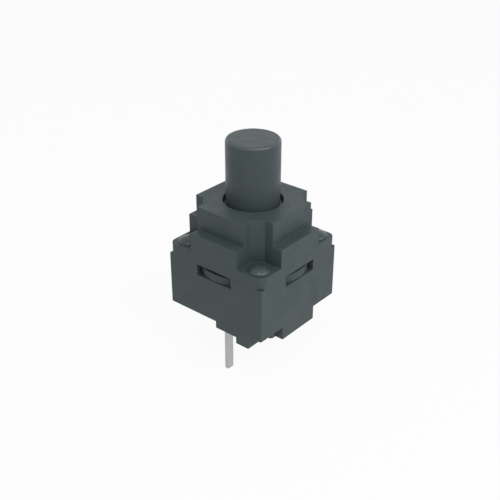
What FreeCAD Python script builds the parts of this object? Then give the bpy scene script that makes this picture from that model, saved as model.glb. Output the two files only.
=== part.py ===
import FreeCAD, Part
import math
import os
from FreeCAD import Vector

# Sealed key switch for a printed board. Millimetres, +Z towards the plunger's tip.
# The origin is the middle of the board's surface, which the four feet stand on.

# Housing, outside
body_width = 12.0
base_standoff = 1.45
base_height = 5.73
base_corner_radius = 0.15
slab_height = 1.22
slab_corner_radius = 0.85
wing_height = 1.97
wing_length = 5.96
block_height = 4.45
block_width = 9.86
notch_shoulder = 0.95

# Feet and bosses under the base, given for the front and the right and repeated half a turn on
boss_drop = 0.75
boss_start_x = 0.16
boss_width = 2.67
boss_depth = 1.8
foot_width = 1.58
foot_depth = 1.7
side_foot_width = 5.1
side_foot_depth = 0.9
side_rib_width = 6.5
side_rib_depth = 1.1
side_rib_radius = 0.35

# Base, inside
floor_thickness = 1.55
chamber_ledge = 0.85
seal_seat_margin = 0.7
seal_lobe_share = 0.7
seal_lobe_recess = 0.07
window_width = 4.4
window_height = 1.2

# Plunger
plunger_diameter = 5.42
plunger_reach = 6.40
guide_step = 0.17
guide_recess = 0.45
plunger_edge_radius = 0.32
plunger_core_radius = 1.55
plunger_crown = 5.25
collar_radius = 3.75
collar_height = 0.72
key_width = 1.2
key_reach = 4.3
neck_radius = 2.3
neck_height = 0.80
spring_flange_radius = 2.85
spring_flange_height = 0.60
stop_tube_radius = 2.0
travel = 1.5

# Cover, inside
mouth_radius = 3.03
mouth_depth = 1.1
roof_thickness = 3.25
collar_room_radius = 4.05
boot_room_height = 0.57
tongue_clearance = 0.10
tongue_thickness = 0.45

# Sealing boot
bead_height = 0.85
bead_width = 0.75
boot_skin = 0.25
sleeve_wall = 0.72

# Guide plate, tappet and springs
plate_height = 1.35
plate_web = 0.75
spring_groove_depth = 0.25
spring_groove_margin = 0.13
return_wire = 0.34
return_mean_radius = 2.45
return_turns = 4.0
tappet_nose_radius = 0.85
tappet_tip_radius = 0.2
tappet_stem_radius = 0.7
tappet_stem_length = 2.35
tappet_collar_height = 0.5
tappet_collar_cover = 0.43
overtravel_wire = 0.22
overtravel_mean_radius = 1.15
overtravel_turns = 10.0

# Contacts
sheet = 0.44
dome_radius = 2.5
dome_side = 2.05
dome_height = 0.45
dome_skin = 0.08
film_skin = 0.05
ring_inner_radius = 1.75
ring_outer_radius = 2.9
strap_width = 0.8
strap_clearance = 0.35
centre_pad_radius = 1.0
silver_radius = 0.45
silver_height = 0.12
silver_edge_radius = 0.06
pin_width = 0.8
pin_face_x = 1.50
pin_setback = 0.30
pin_length = 4.1
pin_chamfer = 0.12
bend_radius = 0.3
well_margin = 0.28
well_depth = 1.0
well_fill_gap = 0.06

# Cover pins
cover_pin_inset = 1.4
cover_pin_radius = 0.6
cover_pin_grip = 3.6
cover_pin_chamfer = 0.15
cover_pin_head_radius = 1.09
cover_pin_head_rim = 0.10
cover_pin_head_dome = 0.42

# Clearances
guide_clearance = 0.05
key_clearance = 0.06
contact_gap = 0.02
rest_gap = 0.03
room_clearance = 0.10
seat_clearance = 0.03
tiny = 1e-6

# Levels and half sizes that follow from the sizes above
half = body_width / 2
block_half = block_width / 2
wing_half = wing_length / 2
base_bottom = base_standoff
floor_top = base_bottom + floor_thickness
split = base_bottom + base_height
sill = split - window_height
pad = split + slab_height
wing_top = pad + wing_height
plateau = pad + block_height
plunger_radius = plunger_diameter / 2
guide_radius = plunger_radius + guide_step
plunger_top = plateau + plunger_reach
guide_top = plateau - guide_recess
ceiling = plateau - roof_thickness
collar_top = ceiling - rest_gap
collar_bottom = collar_top - collar_height
neck_bottom = collar_bottom - neck_height
flange_bottom = neck_bottom - spring_flange_height
core_top = plunger_top - plunger_crown
bead_top = sill + bead_height
boot_room_top = split + boot_room_height
film_top = floor_top + film_skin
plate_top = film_top + plate_height
plate_pocket_top = plate_top - plate_web
stop_tube_bottom = plate_top + travel + contact_gap
film_crown = floor_top + dome_height + contact_gap + film_skin
tappet_bottom = film_crown + contact_gap
tappet_collar_bottom = stop_tube_bottom + tappet_collar_cover
tappet_collar_top = tappet_collar_bottom + tappet_collar_height
spring_groove_floor = plate_top - spring_groove_depth
cover_pin_place = half - cover_pin_inset
pin_front = -(half - pin_setback)
seal_seat_radius = half - seal_seat_margin
chamber_radius = seal_seat_radius - chamber_ledge
bead_inner_radius = seal_seat_radius - bead_width
tongue_radius = seal_seat_radius - tongue_clearance
tongue_inner_radius = tongue_radius - tongue_thickness
seal_lobe_radius = half * seal_lobe_share
lobe_centre = half - seal_lobe_recess - seal_lobe_radius


def box(x0, x1, y0, y1, z0, z1):
    return Part.makeBox(x1 - x0, y1 - y0, z1 - z0, Vector(x0, y0, z0))


def disc(radius, z0, z1, x=0.0, y=0.0):
    return Part.makeCylinder(radius, z1 - z0, Vector(x, y, z0))


def ring(outer, inner, z0, z1):
    return disc(outer, z0, z1).cut(disc(inner, z0, z1))


def prism(points, z0, z1):
    corners = [Vector(x, y, z0) for x, y in points]
    face = Part.Face(Part.makePolygon(corners + corners[:1]))
    return face.extrude(Vector(0, 0, z1 - z0))


def turned(points):
    corners = [Vector(r, 0, z) for r, z in points]
    face = Part.Face(Part.makePolygon(corners + corners[:1]))
    return face.revolve(Vector(0, 0, 0), Vector(0, 0, 1), 360)


def rotated(shape, degrees):
    copy = shape.copy()
    copy.rotate(Vector(0, 0, 0), Vector(0, 0, 1), degrees)
    return copy


def upright_edges(shape):
    """The straight edges of a block that run along Z."""
    return [e for e in shape.Edges if e.BoundBox.XLength < tiny and e.BoundBox.YLength < tiny]


def rounded_block(width_x, width_y, z0, z1, radius):
    block = box(-width_x / 2, width_x / 2, -width_y / 2, width_y / 2, z0, z1)
    return block.makeFillet(radius, upright_edges(block))


def corner_places():
    signs = [("front_left", -1, -1), ("front_right", 1, -1), ("back_right", 1, 1), ("back_left", -1, 1)]
    return [(name, sx * cover_pin_place, sy * cover_pin_place) for name, sx, sy in signs]


def notched_outline():
    """Plan of the upper block: a square whose corners give way to the pin heads."""
    shoulder = block_half - notch_shoulder
    corner = [
        (wing_half, -block_half),
        (wing_half, -shoulder),
        (shoulder, -wing_half),
        (block_half, -wing_half),
    ]
    points = []
    for _ in range(4):
        points.extend(corner)
        corner = [(-y, x) for x, y in corner]
    return points


def seal_outline(grow, z0, z1):
    """The seal's rim: a round with a rounded lobe towards each face."""
    lobe = disc(seal_lobe_radius + grow, z0, z1, lobe_centre)
    lobes = [rotated(lobe, 90 * quarter) for quarter in range(4)]
    return disc(seal_seat_radius + grow, z0, z1).fuse(lobes).removeSplitter()


def flat_strap():
    """The strap of a terminal on the floor, from the middle to the bend, towards the front."""
    run = box(-strap_width / 2, strap_width / 2, pin_front, 0, floor_top - sheet, floor_top)
    side = box(-strap_width / 2, pin_face_x, pin_front, pin_front + pin_width, floor_top - sheet, floor_top)
    return run.fuse(side)


def pin_leg():
    """The leg that goes down through the board, bent from the strap's end."""
    leg = box(pin_face_x - sheet, pin_face_x, pin_front, pin_front + pin_width, -pin_length, floor_top)
    tip = [e for e in leg.Edges if max(v.Point.z for v in e.Vertexes) < -pin_length + tiny]
    return leg.makeChamfer(pin_chamfer, tip)


def bent_strap():
    blank = flat_strap().fuse(pin_leg()).removeSplitter()
    bend = []
    for edge in blank.Edges:
        ends = [vertex.Point for vertex in edge.Vertexes]
        if all(abs(p.x - pin_face_x) < tiny and abs(p.z - floor_top) < tiny for p in ends):
            bend.append(edge)
    return blank.makeFillet(bend_radius, bend)


def make_common_terminal():
    plate = ring(ring_outer_radius, ring_inner_radius, floor_top - sheet, floor_top)
    slot = strap_width / 2 + strap_clearance
    plate = plate.cut(box(-slot, slot, 0, half, floor_top - sheet, floor_top))
    strap = bent_strap().cut(disc(ring_inner_radius, floor_top - sheet, floor_top))
    return plate.fuse(strap).removeSplitter()


def make_centre_terminal():
    plate = disc(centre_pad_radius, floor_top - sheet, floor_top)
    return plate.fuse(rotated(bent_strap(), 180)).removeSplitter()


def make_centre_contact():
    button = disc(silver_radius, floor_top, floor_top + silver_height)
    rim = [e for e in button.Edges if e.BoundBox.ZMin > floor_top + silver_height - tiny]
    return button.makeFillet(silver_edge_radius, rim)


def sealant_well(z0, z1):
    x0 = pin_face_x - sheet - well_margin
    x1 = pin_face_x + well_margin
    return box(x0, x1, pin_front, pin_front + pin_width + well_margin, z0, z1)


def make_sealant():
    bottom = base_bottom - boss_drop
    return sealant_well(bottom + well_fill_gap, bottom + well_depth).cut(pin_leg())


def under_base():
    """Front boss and foot with the right side foot; the other two faces get them half a turn on."""
    boss_end = boss_start_x + boss_width
    boss = box(boss_start_x, boss_end, -half, -half + boss_depth, base_bottom - boss_drop, base_bottom)
    foot = box(boss_end, boss_end + foot_width, -half, -half + foot_depth, 0, base_bottom)
    side = box(half - side_foot_depth, half, -side_foot_width / 2, side_foot_width / 2, 0, base_bottom)
    rib_x = half - side_foot_depth
    rib_y = side_rib_width / 2
    rib = box(rib_x - side_rib_depth, rib_x, -rib_y, rib_y, 0, base_bottom)
    rib = rib.makeFillet(side_rib_radius, upright_edges(rib))
    group = boss.fuse([foot, side, rib])
    return group.fuse(rotated(group, 180))


def make_lower_housing():
    body = rounded_block(body_width, body_width, base_bottom, split, base_corner_radius)
    body = body.fuse(under_base()).removeSplitter()
    body = body.cut(disc(chamber_radius, floor_top, split))
    body = body.cut(seal_outline(seat_clearance, sill, split))
    for quarter in range(4):
        window = box(-window_width / 2, window_width / 2, -half, -tongue_inner_radius, sill, split)
        body = body.cut(rotated(window, 90 * quarter))
    for _, x, y in corner_places():
        body = body.cut(disc(cover_pin_radius, split - cover_pin_grip, split, x, y))
    bottom = base_bottom - boss_drop
    well = sealant_well(bottom, bottom + well_depth)
    body = body.cut([well, rotated(well, 180), make_common_terminal(), make_centre_terminal()])
    return body


def make_upper_housing():
    slab = rounded_block(body_width, body_width, split, pad, slab_corner_radius)
    wing_x = box(-half, half, -wing_half, wing_half, pad, wing_top)
    wing_y = box(-wing_half, wing_half, -half, half, pad, wing_top)
    block = prism(notched_outline(), pad, plateau)
    body = slab.fuse([wing_x, wing_y, block]).removeSplitter()
    body = body.fuse(disc(tongue_radius, bead_top, split))
    body = body.cut(disc(tongue_inner_radius, bead_top, boot_room_top))
    body = body.cut(disc(collar_room_radius, boot_room_top, ceiling))
    body = body.cut(disc(guide_radius + guide_clearance, ceiling, plateau))
    body = body.cut(disc(mouth_radius, plateau - mouth_depth, plateau))
    keyway = key_width / 2 + key_clearance
    reach = key_reach + room_clearance
    body = body.cut(box(-reach, reach, -keyway, keyway, boot_room_top, ceiling))
    for _, x, y in corner_places():
        body = body.cut(disc(cover_pin_radius + guide_clearance, split, pad, x, y))
    return body.removeSplitter()


def make_plunger():
    post = disc(plunger_radius, collar_top, plunger_top)
    crown = [e for e in post.Edges if e.BoundBox.ZMin > plunger_top - tiny]
    post = post.makeFillet(plunger_edge_radius, crown)
    guide = disc(guide_radius, collar_top, guide_top)
    collar = disc(collar_radius, collar_bottom, collar_top)
    keys = box(-key_reach, key_reach, -key_width / 2, key_width / 2, collar_bottom, collar_top)
    neck = disc(neck_radius, neck_bottom, collar_bottom)
    flange = disc(spring_flange_radius, flange_bottom, neck_bottom)
    tube = disc(stop_tube_radius, stop_tube_bottom, flange_bottom)
    body = post.fuse([guide, collar, keys, neck, flange, tube])
    return body.cut(disc(plunger_core_radius, stop_tube_bottom, core_top)).removeSplitter()


def make_sealing_boot():
    bead = seal_outline(0.0, sill, bead_top).cut(disc(bead_inner_radius, sill, bead_top))
    sleeve_outer = neck_radius + sleeve_wall
    sleeve_bottom = neck_bottom + rest_gap
    sleeve_top = collar_bottom - rest_gap
    root = bead_inner_radius + boot_skin
    cone_low = sill + bead_height / 2
    skirt = turned([
        (root, cone_low),
        (root, cone_low + boot_skin),
        (bead_inner_radius - boot_skin / 2, cone_low + boot_skin),
        (sleeve_outer, sleeve_bottom + boot_skin),
        (sleeve_outer - boot_skin, sleeve_bottom + boot_skin),
        (sleeve_outer - boot_skin / 2, sleeve_bottom),
        (bead_inner_radius - boot_skin, cone_low),
    ])
    sleeve = ring(sleeve_outer, neck_radius + contact_gap, sleeve_bottom, sleeve_top)
    return bead.fuse([skirt, sleeve]).removeSplitter()


def make_guide_plate():
    body = disc(chamber_radius - guide_clearance, film_top, plate_top)
    body = body.cut(disc(dome_radius + room_clearance + film_skin, film_top, plate_pocket_top))
    body = body.cut(disc(tappet_nose_radius + guide_clearance, plate_pocket_top, plate_top))
    outer = return_mean_radius + return_wire / 2 + spring_groove_margin
    inner = return_mean_radius - return_wire / 2 - spring_groove_margin
    return body.cut(ring(outer, inner, spring_groove_floor, plate_top))


def make_tappet():
    nose = disc(tappet_nose_radius, tappet_bottom, tappet_collar_bottom)
    tip = [e for e in nose.Edges if e.BoundBox.ZMax < tappet_bottom + tiny]
    nose = nose.makeFillet(tappet_tip_radius, tip)
    collar = disc(plunger_core_radius - guide_clearance, tappet_collar_bottom, tappet_collar_top)
    stem = disc(tappet_stem_radius, tappet_collar_top, tappet_collar_top + tappet_stem_length)
    return nose.fuse([collar, stem]).removeSplitter()


def cap(radius, height, z0):
    """A shallow dome: the part of a ball above a flat cut of the given radius."""
    ball = (radius ** 2 + height ** 2) / (2 * height)
    sphere = Part.makeSphere(ball, Vector(0, 0, z0 + height - ball))
    return sphere.common(disc(2 * radius, z0, z0 + 2 * height))


def make_snap_dome():
    """A dome with four cut sides, so that only its four feet stand on the ring contact."""
    shell = cap(dome_radius, dome_height, floor_top)
    shell = shell.cut(cap(dome_radius - dome_skin, dome_height - dome_skin, floor_top))
    return shell.common(box(-dome_side, dome_side, -dome_side, dome_side, floor_top, film_crown))


def make_dome_film():
    inner = dome_radius + contact_gap
    rise = dome_height + contact_gap
    shell = cap(inner + film_skin, rise + film_skin, floor_top)
    flat = disc(chamber_radius - guide_clearance, floor_top, film_top)
    return flat.fuse(shell).cut(cap(inner, rise, floor_top)).removeSplitter()


def coil_line(mean_radius, pitch, turns):
    """The line of a coil in half turns, which keeps each face of the wire short."""
    edges = []
    for step in range(round(2 * turns)):
        piece = rotated(Part.makeHelix(pitch, pitch / 2, mean_radius), 180 * step)
        piece.translate(Vector(0, 0, pitch / 2 * step))
        edges.extend(piece.Edges)
    return Part.Wire(edges)


def coil(mean_radius, wire, z0, z1, turns):
    pitch = (z1 - z0 - wire) / turns
    path = coil_line(mean_radius, pitch, turns)
    rise = math.atan2(pitch, 2 * math.pi * mean_radius)
    along = Vector(0, math.cos(rise), math.sin(rise))
    section = Part.Wire(Part.makeCircle(wire / 2, Vector(mean_radius, 0, 0), along))
    spring = path.makePipeShell([section], True, True)
    spring.translate(Vector(0, 0, z0 + wire / 2))
    return spring


def make_return_spring():
    return coil(return_mean_radius, return_wire, spring_groove_floor, flange_bottom, return_turns)


def make_overtravel_spring():
    return coil(overtravel_mean_radius, overtravel_wire, tappet_collar_top, core_top, overtravel_turns)


def make_cover_pin(x, y):
    shank = disc(cover_pin_radius, split - cover_pin_grip, pad)
    end = [e for e in shank.Edges if e.BoundBox.ZMax < split - cover_pin_grip + tiny]
    shank = shank.makeChamfer(cover_pin_chamfer, end)
    rim = disc(cover_pin_head_radius, pad, pad + cover_pin_head_rim)
    dome = cap(cover_pin_head_radius, cover_pin_head_dome, pad + cover_pin_head_rim)
    pin = shank.fuse([rim, dome]).removeSplitter()
    pin.translate(Vector(x, y, 0))
    return pin


def all_pieces():
    sealant = make_sealant()
    pieces = {
        "lower_housing": make_lower_housing(),
        "upper_housing": make_upper_housing(),
        "plunger": make_plunger(),
        "sealing_boot": make_sealing_boot(),
        "return_spring": make_return_spring(),
        "overtravel_spring": make_overtravel_spring(),
        "tappet": make_tappet(),
        "guide_plate": make_guide_plate(),
        "dome_film": make_dome_film(),
        "snap_dome": make_snap_dome(),
        "centre_contact": make_centre_contact(),
        "common_terminal": make_common_terminal(),
        "centre_terminal": make_centre_terminal(),
        "pin_sealant_front": sealant,
        "pin_sealant_back": rotated(sealant, 180),
    }
    for name, x, y in corner_places():
        pieces["cover_pin_" + name] = make_cover_pin(x, y)
    return pieces


os.makedirs("parts", exist_ok=True)
for node, shape in all_pieces().items():
    solid = shape.Solids[0] if len(shape.Solids) == 1 else shape
    solid.exportStep("parts/" + node + ".step")
    print(node, "solids", len(shape.Solids), "valid", shape.isValid(), "volume", round(shape.Volume, 4))
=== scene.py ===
import math

import bmesh
import bpy
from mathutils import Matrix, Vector


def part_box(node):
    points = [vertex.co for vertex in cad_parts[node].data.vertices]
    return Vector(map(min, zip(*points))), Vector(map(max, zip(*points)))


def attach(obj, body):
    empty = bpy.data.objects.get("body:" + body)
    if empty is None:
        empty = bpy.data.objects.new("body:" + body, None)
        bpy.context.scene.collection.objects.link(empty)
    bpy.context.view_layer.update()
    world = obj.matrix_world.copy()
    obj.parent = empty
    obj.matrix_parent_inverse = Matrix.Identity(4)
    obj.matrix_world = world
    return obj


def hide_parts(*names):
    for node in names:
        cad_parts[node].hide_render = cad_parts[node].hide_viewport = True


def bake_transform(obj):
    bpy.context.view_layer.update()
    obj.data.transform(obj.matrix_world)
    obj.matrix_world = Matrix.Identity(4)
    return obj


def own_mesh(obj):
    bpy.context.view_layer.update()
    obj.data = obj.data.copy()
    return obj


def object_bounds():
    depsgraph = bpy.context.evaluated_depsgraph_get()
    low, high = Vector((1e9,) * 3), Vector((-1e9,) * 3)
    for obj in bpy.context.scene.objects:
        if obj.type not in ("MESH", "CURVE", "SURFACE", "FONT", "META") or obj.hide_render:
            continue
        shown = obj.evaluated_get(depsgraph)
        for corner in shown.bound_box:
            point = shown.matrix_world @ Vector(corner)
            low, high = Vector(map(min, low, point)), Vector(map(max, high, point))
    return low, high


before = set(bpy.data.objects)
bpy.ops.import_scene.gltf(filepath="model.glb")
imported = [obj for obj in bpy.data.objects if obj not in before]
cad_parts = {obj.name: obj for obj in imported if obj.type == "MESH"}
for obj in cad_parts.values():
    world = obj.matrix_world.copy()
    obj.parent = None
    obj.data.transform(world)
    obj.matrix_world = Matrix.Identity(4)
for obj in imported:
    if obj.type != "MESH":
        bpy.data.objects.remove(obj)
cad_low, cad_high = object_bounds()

# Shapes are given in millimetres and MM turns them into metres. Sizes in a material or a lamp are metres.
MM = 0.001

# Levels of the object, read from the frame
plunger_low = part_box("plunger")[0].z / MM
plunger_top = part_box("plunger")[1].z / MM
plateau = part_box("upper_housing")[1].z / MM
floor_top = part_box("snap_dome")[0].z / MM
spring_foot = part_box("return_spring")[0].z / MM
pin_tip = cad_low.z / MM

# Levels of the plunger that its springs bear on
spring_flange_low = 7.45
bore_end = 14.0


# Mesh helpers

def finish_mesh(name, bm, sharp_degrees=32):
    """Turns a mesh in millimetres into a piece in metres with smooth sides and crisp corners."""
    bmesh.ops.remove_doubles(bm, verts=bm.verts, dist=1e-5)
    bmesh.ops.recalc_face_normals(bm, faces=bm.faces)
    bmesh.ops.scale(bm, vec=(MM, MM, MM), verts=bm.verts)
    mesh = bpy.data.meshes.new(name)
    bm.to_mesh(mesh)
    bm.free()
    mesh.shade_smooth()
    mesh.set_sharp_from_angle(angle=math.radians(sharp_degrees))
    piece = bpy.data.objects.new(name, mesh)
    bpy.context.scene.collection.objects.link(piece)
    return piece


def arc(cx, cz, radius, start, end, steps):
    """Points on a part of a round, in the plane of radius and height, with its angles in degrees."""
    points = []
    for step in range(steps + 1):
        angle = math.radians(start + (end - start) * step / steps)
        points.append((cx + radius * math.cos(angle), cz + radius * math.sin(angle)))
    return points


def circle(radius, z, count, x=0.0, y=0.0):
    """Points on a level circle."""
    points = []
    for k in range(count):
        angle = 2 * math.pi * k / count
        points.append((x + radius * math.cos(angle), y + radius * math.sin(angle), z))
    return points


def soften(points, radius):
    """Rounds the corners of a closed profile, apart from those on the axis and nearly straight ones."""
    most_of_side, nearly_straight = 0.45, -0.95
    rounded = []
    count = len(points)
    for i, point in enumerate(points):
        here = Vector(point)
        before = Vector(points[i - 1]) - here
        after = Vector(points[(i + 1) % count]) - here
        reach = min(radius, before.length * most_of_side, after.length * most_of_side)
        if here.x < 1e-6 or before.normalized().dot(after.normalized()) < nearly_straight:
            rounded.append(point)
            continue
        a = here + before.normalized() * reach
        b = here + after.normalized() * reach
        for t in (0, 0.25, 0.5, 0.75, 1):
            rounded.append(tuple(a.lerp(here, t).lerp(here.lerp(b, t), t)))
    return rounded


def add_ring(bm, points):
    """Adds a vertex for each point."""
    return [bm.verts.new(point) for point in points]


def add_turned(bm, profile, segments=96, x=0.0, y=0.0):
    """Adds a closed profile of (radius, height) points turned round an upright axis."""
    rings = []
    for r, z in profile:
        if r < 1e-6:
            rings.append([bm.verts.new((x, y, z))] * segments)
        else:
            rings.append(add_ring(bm, circle(r, z, segments, x, y)))
    for i, ring in enumerate(rings):
        lower = rings[i - 1]
        for k in range(segments):
            corners = [lower[k - 1], lower[k], ring[k], ring[k - 1]]
            unique = list(dict.fromkeys(corners))
            if len(unique) >= 3:
                bm.faces.new(unique)


def add_wall(bm, low, high):
    """Joins two rings of equal count with a band of faces."""
    for k in range(len(low)):
        bm.faces.new([low[k - 1], low[k], high[k], high[k - 1]])


def add_tube(bm, line, radius):
    """Adds a round wire along a line of points, closed at both ends."""
    sides = 14
    rings = []
    for i, point in enumerate(line):
        ahead = line[min(i + 1, len(line) - 1)] - line[max(i - 1, 0)]
        along = ahead.normalized()
        out = Vector((point.x, point.y, 0)).normalized()
        up = along.cross(out).normalized()
        out = up.cross(along)
        ring = []
        for k in range(sides):
            angle = 2 * math.pi * k / sides
            ring.append(bm.verts.new(point + radius * (math.cos(angle) * out + math.sin(angle) * up)))
        rings.append(ring)
    for low, high in zip(rings, rings[1:]):
        add_wall(bm, low, high)
    bm.faces.new(rings[0])
    bm.faces.new(rings[-1])


# Materials. Object coordinates are metres, so a noise scale of 1000 gives detail about 1 mm wide.

# Noise scales of a mottled colour and of an uneven sheen
MOTTLE = 420
MOULDED_SHEEN = 900
METAL_SHEEN = 1500

# Radius of the rounding that an edge is shaded with
MOULDED_EDGE = 0.00005
METAL_EDGE = 0.00004


def node_tree(name):
    """A new material with its node tree and its main shader."""
    material = bpy.data.materials.new(name)
    material.use_nodes = True
    tree = material.node_tree
    shader = tree.nodes["Principled BSDF"]
    return material, tree, shader


def noise(tree, scale, detail=3.0, stretch=(1, 1, 1)):
    """A noise in the object's own coordinates."""
    coordinates = tree.nodes.new("ShaderNodeTexCoord")
    mapping = tree.nodes.new("ShaderNodeMapping")
    mapping.inputs["Scale"].default_value = stretch
    texture = tree.nodes.new("ShaderNodeTexNoise")
    texture.inputs["Scale"].default_value = scale
    texture.inputs["Detail"].default_value = detail
    tree.links.new(coordinates.outputs["Object"], mapping.inputs["Vector"])
    tree.links.new(mapping.outputs["Vector"], texture.inputs["Vector"])
    return texture.outputs["Fac"]


def mapped(tree, value, start, end, low, high):
    """Maps a value from start..end to low..high, and holds it past both ends."""
    node = tree.nodes.new("ShaderNodeMapRange")
    node.inputs["From Min"].default_value = start
    node.inputs["From Max"].default_value = end
    node.inputs["To Min"].default_value = low
    node.inputs["To Max"].default_value = high
    tree.links.new(value, node.inputs["Value"])
    return node.outputs["Result"]


def spread(tree, value, low, high):
    """Maps the middle of a noise, where most of it lies, to a range of numbers."""
    return mapped(tree, value, 0.3, 0.7, low, high)


def mixed(tree, factor, first, second):
    """A colour between two colours, or between another mix and a colour."""
    mix = tree.nodes.new("ShaderNodeMix")
    mix.data_type = "RGBA"
    tree.links.new(factor, mix.inputs["Factor"])
    for socket, colour in ((mix.inputs[6], first), (mix.inputs[7], second)):
        if isinstance(colour, tuple):
            socket.default_value = (*colour, 1)
        else:
            tree.links.new(colour, socket)
    return mix.outputs[2]


def rounded_normal(tree, radius):
    """The normal of the surface as if its edges were rounded."""
    bevel = tree.nodes.new("ShaderNodeBevel")
    bevel.samples = 6
    bevel.inputs["Radius"].default_value = radius
    return bevel.outputs["Normal"]


def edge_highlight_mask(tree, rounded):
    """Where the painted highlight goes: rises on the outer and inner edges, where the rounded normal
    leaves the flat one.
    """
    # The last number is how far an edge turns to its painted highlight colour
    cosine_on_flat, cosine_on_edge, highlight_share = 0.998, 0.90, 0.8
    geometry = tree.nodes.new("ShaderNodeNewGeometry")
    dot = tree.nodes.new("ShaderNodeVectorMath")
    dot.operation = "DOT_PRODUCT"
    tree.links.new(rounded, dot.inputs[0])
    tree.links.new(geometry.outputs["True Normal"], dot.inputs[1])
    return mapped(tree, dot.outputs["Value"], cosine_on_flat, cosine_on_edge, 0.0, highlight_share)


def bumped(tree, shader, value, distance, normal):
    """Lets a value raise the surface, on top of a normal."""
    bump = tree.nodes.new("ShaderNodeBump")
    bump.inputs["Distance"].default_value = distance
    bump.inputs["Strength"].default_value = 1.0
    tree.links.new(value, bump.inputs["Height"])
    tree.links.new(normal, bump.inputs["Normal"])
    tree.links.new(bump.outputs["Normal"], shader.inputs["Normal"])


def moulded(name, dark, light, edge_highlight, roughness, grain=14000, depth=0.0000025, specular=0.3):
    """Moulded plastic or rubber: mottled colour, fine spark grain and edges painted a little paler as a
    highlight.
    """
    material, tree, shader = node_tree(name)
    colour = mixed(tree, spread(tree, noise(tree, MOTTLE), 0, 1), dark, light)
    rounded = rounded_normal(tree, MOULDED_EDGE)
    # Painted highlight: the edges turn towards a paler colour
    colour = mixed(tree, edge_highlight_mask(tree, rounded), colour, edge_highlight)
    tree.links.new(colour, shader.inputs["Base Color"])
    low, high = roughness
    tree.links.new(spread(tree, noise(tree, MOULDED_SHEEN), low, high), shader.inputs["Roughness"])
    shader.inputs["Specular IOR Level"].default_value = specular
    bumped(tree, shader, noise(tree, grain, 4.0), depth, rounded)
    return material


def polish_rim(material, roughness, specular):
    """Makes the rounding between an upright side and a level top smoother, as where fingers rub it."""
    tree = material.node_tree
    shader = tree.nodes["Principled BSDF"]
    geometry = tree.nodes.new("ShaderNodeNewGeometry")
    parts = tree.nodes.new("ShaderNodeSeparateXYZ")
    tree.links.new(geometry.outputs["Normal"], parts.inputs["Vector"])
    # The normal's Z is 0 on an upright side and 1 on a level top
    past_side = mapped(tree, parts.outputs["Z"], 0.2, 0.45, 0, 1)
    short_of_top = mapped(tree, parts.outputs["Z"], 0.98, 0.88, 0, 1)
    rim = tree.nodes.new("ShaderNodeMath")
    rim.operation = "MULTIPLY"
    tree.links.new(past_side, rim.inputs[0])
    tree.links.new(short_of_top, rim.inputs[1])
    plain = shader.inputs["Roughness"].links[0].from_socket
    mix = tree.nodes.new("ShaderNodeMix")
    tree.links.new(rim.outputs["Value"], mix.inputs[0])
    tree.links.new(plain, mix.inputs[2])
    mix.inputs[3].default_value = roughness
    tree.links.new(mix.outputs[0], shader.inputs["Roughness"])
    gloss = shader.inputs["Specular IOR Level"]
    tree.links.new(mapped(tree, rim.outputs["Value"], 0, 1, gloss.default_value, specular), gloss)


def metal(name, dark, light, roughness, scale, stretch, depth):
    """Plated or drawn metal with fine lines along its length."""
    material, tree, shader = node_tree(name)
    shader.inputs["Metallic"].default_value = 1.0
    lines = noise(tree, scale, 4.0, stretch)
    tree.links.new(mixed(tree, spread(tree, lines, 0, 1), dark, light), shader.inputs["Base Color"])
    low, high = roughness
    tree.links.new(spread(tree, noise(tree, METAL_SHEEN), low, high), shader.inputs["Roughness"])
    bumped(tree, shader, lines, depth, rounded_normal(tree, METAL_EDGE))
    return material


# The third colour of each moulded finish is the painted highlight on its edges
housing_plastic = moulded(
    "housing_plastic", dark=(0.0465, 0.066, 0.068), light=(0.0505, 0.0705, 0.073),
    edge_highlight=(0.075, 0.096, 0.1), roughness=(0.42, 0.56),
)
plunger_plastic = moulded(
    "plunger_plastic", dark=(0.047, 0.064, 0.067), light=(0.051, 0.0685, 0.072),
    edge_highlight=(0.08, 0.1, 0.104), roughness=(0.38, 0.5),
)
polish_rim(plunger_plastic, roughness=0.28, specular=0.55)
pin_plastic = moulded(
    "pin_plastic", dark=(0.045, 0.06, 0.063), light=(0.049, 0.0645, 0.068),
    edge_highlight=(0.07, 0.088, 0.092), roughness=(0.28, 0.36), specular=0.42,
)
seal_rubber = moulded(
    "seal_rubber", dark=(0.054, 0.072, 0.075), light=(0.060, 0.078, 0.081),
    edge_highlight=(0.07, 0.088, 0.091), roughness=(0.6, 0.75),
)
inner_plastic = moulded(
    "inner_plastic", dark=(0.55, 0.53, 0.48), light=(0.64, 0.62, 0.57),
    edge_highlight=(0.72, 0.7, 0.66), roughness=(0.4, 0.55),
)
resin = moulded(
    "resin", dark=(0.03, 0.03, 0.033), light=(0.045, 0.045, 0.05),
    edge_highlight=(0.05, 0.05, 0.055), roughness=(0.15, 0.3), grain=2500, depth=0.000004,
)
film_plastic = moulded(
    "film_plastic", dark=(0.5, 0.22, 0.04), light=(0.6, 0.28, 0.06),
    edge_highlight=(0.66, 0.36, 0.1), roughness=(0.12, 0.25), grain=3000,
)
tin = metal(
    "tin", dark=(0.40, 0.40, 0.40), light=(0.46, 0.46, 0.46), roughness=(0.26, 0.38),
    scale=5000, stretch=(1, 1, 0.12), depth=0.0000012,
)
wire_steel = metal(
    "wire_steel", dark=(0.48, 0.48, 0.49), light=(0.58, 0.58, 0.59), roughness=(0.2, 0.34),
    scale=7000, stretch=(0.4, 0.4, 1), depth=0.0000008,
)
strip_steel = metal(
    "strip_steel", dark=(0.54, 0.54, 0.55), light=(0.64, 0.64, 0.65), roughness=(0.16, 0.3),
    scale=6000, stretch=(1, 0.1, 1), depth=0.0000008,
)
silver = metal(
    "silver", dark=(0.78, 0.77, 0.74), light=(0.88, 0.87, 0.84), roughness=(0.22, 0.34),
    scale=5000, stretch=(1, 1, 1), depth=0.000001,
)


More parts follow.
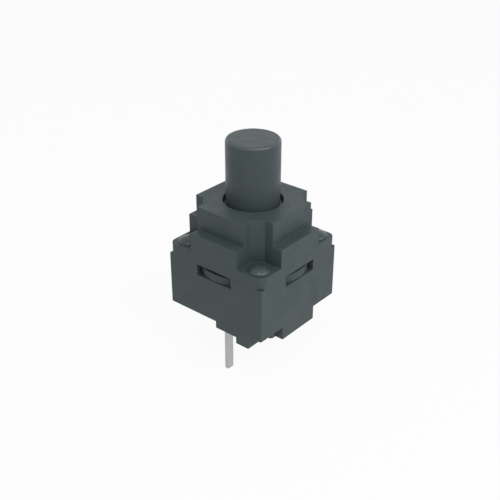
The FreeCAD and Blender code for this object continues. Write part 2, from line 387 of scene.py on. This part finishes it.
def dress(piece, material, slot, body, *nodes):
    """Finishes a new piece: its material, its body if it has only one, and its CAD nodes. Its slot is not
    used.
    """
    piece.data.materials.clear()
    piece.data.materials.append(material)
    if body:
        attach(piece, body)
    if nodes:
        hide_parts(*nodes)
    return piece


# Carried-over nodes: they get materials, and the housings and terminals get broken edges too

def carry(node, material, edge):
    """Gives a carried-over node its material, and broken edges if their width isn't 0."""
    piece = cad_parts[node]
    piece.data.materials.clear()
    piece.data.materials.append(material)
    if not edge:
        return
    weld = piece.modifiers.new("weld", "WELD")
    weld.merge_threshold = 1e-7
    flat = piece.modifiers.new("flat", "DECIMATE")
    flat.decimate_type = "DISSOLVE"
    flat.angle_limit = math.radians(1.5)
    bevel = piece.modifiers.new("bevel", "BEVEL")
    bevel.width = edge * MM
    bevel.segments = 2
    bevel.limit_method = "ANGLE"
    bevel.angle_limit = math.radians(40)
    bevel.harden_normals = True


for node, material, edge in (
    ("lower_housing", housing_plastic, 0.02),
    ("upper_housing", housing_plastic, 0.035),
    ("common_terminal", tin, 0.03),
    ("centre_terminal", tin, 0.03),
    ("guide_plate", inner_plastic, 0),
    ("tappet", inner_plastic, 0),
    ("pin_sealant_front", resin, 0),
    ("pin_sealant_back", resin, 0),
    ("centre_contact", silver, 0),
):
    carry(node, material, edge)


# Plunger: a turned post with its guide, collar, neck, spring flange and stop tube, and two keys

def make_plunger():
    bore, stop_tube, flange, neck, collar, guide, post = 1.55, 2.0, 2.85, 2.3, 3.75, 2.88, 2.71
    flange_high, collar_low, collar_high = 8.05, 8.85, 9.57
    guide_high = plateau - 0.45
    profile = soften([
        (0, bore_end), (bore, bore_end), (bore, plunger_low), (stop_tube, plunger_low),
        (stop_tube, spring_flange_low), (flange, spring_flange_low), (flange, flange_high),
        (neck, flange_high), (neck, collar_low), (collar, collar_low), (collar, collar_high),
        (guide, collar_high), (guide, guide_high), (post, guide_high),
    ], 0.05)
    rounding, beside_rounding, mid_end = 0.32, 0.03, 1.2
    flat = post - rounding
    # Rings between the corners, on the side and on the end, divide long faces
    profile += [(post, plateau + 1), (post, plunger_top - 2)]
    profile += arc(flat, plunger_top - rounding, rounding, 0, 90, 10)
    profile += [(flat - beside_rounding, plunger_top), (mid_end, plunger_top), (0, plunger_top)]
    bm = bmesh.new()
    add_turned(bm, profile, 128)
    key_size, key_reach, key_height = (0.9, 1.2, 0.7), 3.84, 9.21
    for side in (-1, 1):
        key = bmesh.ops.create_cube(bm, size=1.0)["verts"]
        bmesh.ops.scale(bm, vec=key_size, verts=key)
        bmesh.ops.translate(bm, vec=(side * key_reach, 0, key_height), verts=key)
    return finish_mesh("plunger_post", bm)


dress(make_plunger(), plunger_plastic, "plunger_plastic", "plunger", "plunger")


# Cover pins: a domed head over a chamfered shank

def make_cover_pin(node):
    low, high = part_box(node)
    x = (low.x + high.x) / 2 / MM
    y = (low.y + high.y) / 2 / MM
    foot, top = low.z / MM, high.z / MM
    point, shank, chamfer = 0.45, 0.6, 0.15
    head, rise, steps = 1.09, 0.42, 14
    edge, below_dome = 0.02, 0.03
    seat, rim = top - 0.52, top - 0.5
    ball = (head ** 2 + rise ** 2) / (2 * rise)
    profile = [
        (0, foot), (point, foot), (shank, foot + chamfer), (shank, seat),
        (head - edge, seat), (head, rim), (head, top - rise - below_dome),
    ]
    for step in range(1, steps + 1):
        r = head * (1 - step / steps)
        profile.append((r, top - ball + math.sqrt(ball ** 2 - r ** 2)))
    bm = bmesh.new()
    add_turned(bm, profile, 72, x, y)
    return finish_mesh(node.replace("cover_pin", "pin_head"), bm)


for corner in ("front_left", "front_right", "back_right", "back_left"):
    node = "cover_pin_" + corner
    dress(make_cover_pin(node), pin_plastic, "pin_plastic", "housing", node)


# Sealing boot: a lobed rim held between the two housings, and a thin skirt up to the plunger's neck

def rim_outline(z, grow):
    """The rim's plan: a round with a flatter lobe towards each face, all moved out by a small step."""
    plain, lobe, reach, steps = 5.3, 4.2, 5.93, 240
    centre = reach - lobe
    points = []
    for k in range(steps):
        angle = 2 * math.pi * k / steps
        off = (angle + math.pi / 4) % (math.pi / 2) - math.pi / 4
        across = centre * math.sin(off)
        r = max(plain, centre * math.cos(off) + math.sqrt(lobe ** 2 - across ** 2))
        r += grow
        points.append((r * math.cos(angle), r * math.sin(angle), z))
    return points


def make_rim():
    low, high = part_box("sealing_boot")[0].z / MM, 6.83
    inside, edge = 4.55, 0.06
    bm = bmesh.new()
    rings = []
    for z, grow in ((low, -edge), (low + edge, 0), (high - edge, 0), (high, -edge)):
        rings.append(add_ring(bm, rim_outline(z, grow)))
    for z in (high, low):
        rings.append(add_ring(bm, circle(inside, z, len(rings[0]))))
    for lower, upper in zip(rings, rings[1:] + rings[:1]):
        add_wall(bm, lower, upper)
    return finish_mesh("seal_rim", bm)


def make_skirt():
    foot_inside, foot_outside, foot_low, foot_high = 4.3, 4.6, 6.41, 6.62
    cone_foot, cone_low, cone_high, cone_inside = 4.42, 6.66, 8.30, 2.84
    sleeve_inside, sleeve_outside, sleeve_low, sleeve_high = 2.32, 3.02, 8.08, 8.82
    profile = [
        (foot_outside, foot_low), (foot_outside, foot_high), (cone_foot, cone_low),
        (sleeve_outside, cone_high), (sleeve_outside, sleeve_high), (sleeve_inside, sleeve_high),
        (sleeve_inside, sleeve_low), (cone_inside, sleeve_low), (foot_inside, foot_low),
    ]
    bm = bmesh.new()
    add_turned(bm, soften(profile, 0.08))
    return finish_mesh("seal_skirt", bm)


dress(make_rim(), seal_rubber, "seal_rubber", "housing", "sealing_boot")
skirt = dress(make_skirt(), seal_rubber, "seal_rubber", None, "sealing_boot")
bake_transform(skirt)


# Springs

def make_coil(name, radius, wire, low, high, turns):
    """A coil of round wire between two levels."""
    steps_per_turn = 40
    steps = int(turns * steps_per_turn)
    line = []
    for k in range(steps + 1):
        angle = 2 * math.pi * turns * k / steps
        z = low + wire / 2 + (high - low - wire) * k / steps
        line.append(Vector((radius * math.cos(angle), radius * math.sin(angle), z)))
    bm = bmesh.new()
    add_tube(bm, line, wire / 2)
    return finish_mesh(name, bm, sharp_degrees=50)


seat_gap = 0.01
return_coil = make_coil(
    "return_coil", radius=2.45, wire=0.33,
    low=spring_foot + seat_gap, high=spring_flange_low - seat_gap, turns=4.0,
)
dress(return_coil, wire_steel, "spring_wire", "housing", "return_spring")
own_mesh(return_coil)
overtravel_coil = make_coil(
    "overtravel_coil", radius=1.15, wire=0.21, low=6.86, high=bore_end - seat_gap, turns=10.0,
)
dress(overtravel_coil, wire_steel, "spring_wire", "plunger", "overtravel_spring")
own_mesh(overtravel_coil)


# Snap dome and its film

def cap_height(r, radius, rise):
    """Height over its rim of a cap of a ball, at a distance from the axis."""
    ball = (radius ** 2 + rise ** 2) / (2 * rise)
    return math.sqrt(ball ** 2 - r ** 2) - (ball - rise)


def make_dome():
    """A thin cap cut to four sides, standing on its four feet."""
    radius, rise, half_width, thickness = 2.5, 0.45, 2.05, 0.08
    spokes, circles = 96, 10
    bm = bmesh.new()
    rims = []
    for skin in (0.0, thickness):
        rings = []
        for c in range(circles + 1):
            ring = []
            for k in range(spokes):
                angle = 2 * math.pi * k / spokes
                side = half_width / max(abs(math.cos(angle)), abs(math.sin(angle)))
                r = min(radius - skin, side) * c / circles
                z = floor_top + cap_height(r, radius - skin, rise - skin)
                ring.append(bm.verts.new((r * math.cos(angle), r * math.sin(angle), z)))
            rings.append(ring)
        for inner, outer in zip(rings, rings[1:]):
            add_wall(bm, inner, outer)
        rims.append(rings[-1])
    add_wall(bm, rims[0], rims[1])
    return finish_mesh("dome", bm)


def make_film():
    """Film that lies flat round the dome and rises over it."""
    rim, fold, radius, rise, thickness, steps = 4.4, 2.6, 2.52, 0.47, 0.05, 8
    radii = [radius * step / steps for step in range(steps + 1)]
    under = [(r, floor_top + cap_height(r, radius, rise)) for r in radii]
    under += [(rim, floor_top)]
    top = [(rim, floor_top + thickness), (fold, floor_top + thickness)]
    top += [(r, floor_top + thickness + cap_height(r, radius, rise)) for r in reversed(radii)]
    bm = bmesh.new()
    add_turned(bm, under + top)
    return finish_mesh("film", bm)


dome = dress(make_dome(), strip_steel, "dome_steel", "housing", "snap_dome")
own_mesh(dome)
film = dress(make_film(), film_plastic, "film", "housing", "dome_film")
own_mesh(film)


# Floor, light and camera

def either_ray(tree):
    """1 where the surface is looked at, straight or in a gloss, and 0 where it only gives light."""
    light_path = tree.nodes.new("ShaderNodeLightPath")
    either = tree.nodes.new("ShaderNodeMath")
    either.operation = "MAXIMUM"
    tree.links.new(light_path.outputs["Is Camera Ray"], either.inputs[0])
    tree.links.new(light_path.outputs["Is Glossy Ray"], either.inputs[1])
    return either.outputs["Value"]


def make_floor():
    """A pale floor below the pin tips. It shows near white to the eye and keeps a soft shadow."""
    gap, glow_share = 0.02, 0.94
    bpy.ops.mesh.primitive_plane_add(size=4.0, location=(0, 0, (pin_tip - gap) * MM))
    floor = bpy.context.object
    floor.name = "floor"
    material, tree, shader = node_tree("floor_paper")
    shader.inputs["Base Color"].default_value = (0.82, 0.82, 0.82, 1)
    shader.inputs["Roughness"].default_value = 0.9
    seen = tree.nodes.new("ShaderNodeMath")
    seen.operation = "MULTIPLY"
    seen.inputs[1].default_value = glow_share
    glow = tree.nodes.new("ShaderNodeEmission")
    mix = tree.nodes.new("ShaderNodeMixShader")
    output = tree.nodes["Material Output"]
    tree.links.new(either_ray(tree), seen.inputs[0])
    tree.links.new(seen.outputs["Value"], mix.inputs["Fac"])
    tree.links.new(shader.outputs["BSDF"], mix.inputs[1])
    tree.links.new(glow.outputs["Emission"], mix.inputs[2])
    tree.links.new(mix.outputs["Shader"], output.inputs["Surface"])
    floor.data.materials.append(material)


def make_world():
    """Soft grey light all round, which shows as white behind the object and in its gloss."""
    world = bpy.data.worlds.new("studio")
    bpy.context.scene.world = world
    world.use_nodes = True
    tree = world.node_tree
    soft = tree.nodes["Background"]
    soft.inputs["Color"].default_value = (1, 1, 1, 1)
    soft.inputs["Strength"].default_value = 0.5
    white = tree.nodes.new("ShaderNodeBackground")
    white.inputs["Color"].default_value = (1, 1, 1, 1)
    mix = tree.nodes.new("ShaderNodeMixShader")
    tree.links.new(either_ray(tree), mix.inputs["Fac"])
    tree.links.new(soft.outputs["Background"], mix.inputs[1])
    tree.links.new(white.outputs["Background"], mix.inputs[2])
    tree.links.new(mix.outputs["Shader"], tree.nodes["World Output"].inputs["Surface"])


def add_softbox(name, place, size, power):
    """A square lamp turned to the middle of the object."""
    middle = Vector((0, 0, 8 * MM))
    lamp = bpy.data.lights.new(name, "AREA")
    lamp.shape = "SQUARE"
    lamp.size = size
    lamp.energy = power
    stand = bpy.data.objects.new(name, lamp)
    stand.location = [value * MM for value in place]
    aim = middle - stand.location
    stand.rotation_euler = aim.to_track_quat("-Z", "Y").to_euler()
    bpy.context.scene.collection.objects.link(stand)


def add_camera():
    place, turn, tilt = (48.66, -58.38, 49.23), 40.04, 29.04
    camera = bpy.data.cameras.new("camera")
    camera.lens = 61.34
    camera.sensor_width = 36.0
    camera.clip_start = 0.001
    camera.clip_end = 10.0
    stand = bpy.data.objects.new("camera", camera)
    stand.location = [value * MM for value in place]
    stand.rotation_euler = (math.radians(90 - tilt), 0, math.radians(turn))
    bpy.context.scene.collection.objects.link(stand)
    bpy.context.scene.camera = stand


make_floor()
make_world()
add_softbox("key", place=(85, -5, 80), size=0.09, power=0.056)
add_softbox("overhead", place=(29, -35, 119), size=0.035, power=0.018)
add_softbox("front", place=(-10, -90, 50), size=0.09, power=0.004)
add_camera()
bpy.context.scene.view_settings.view_transform = "Standard"
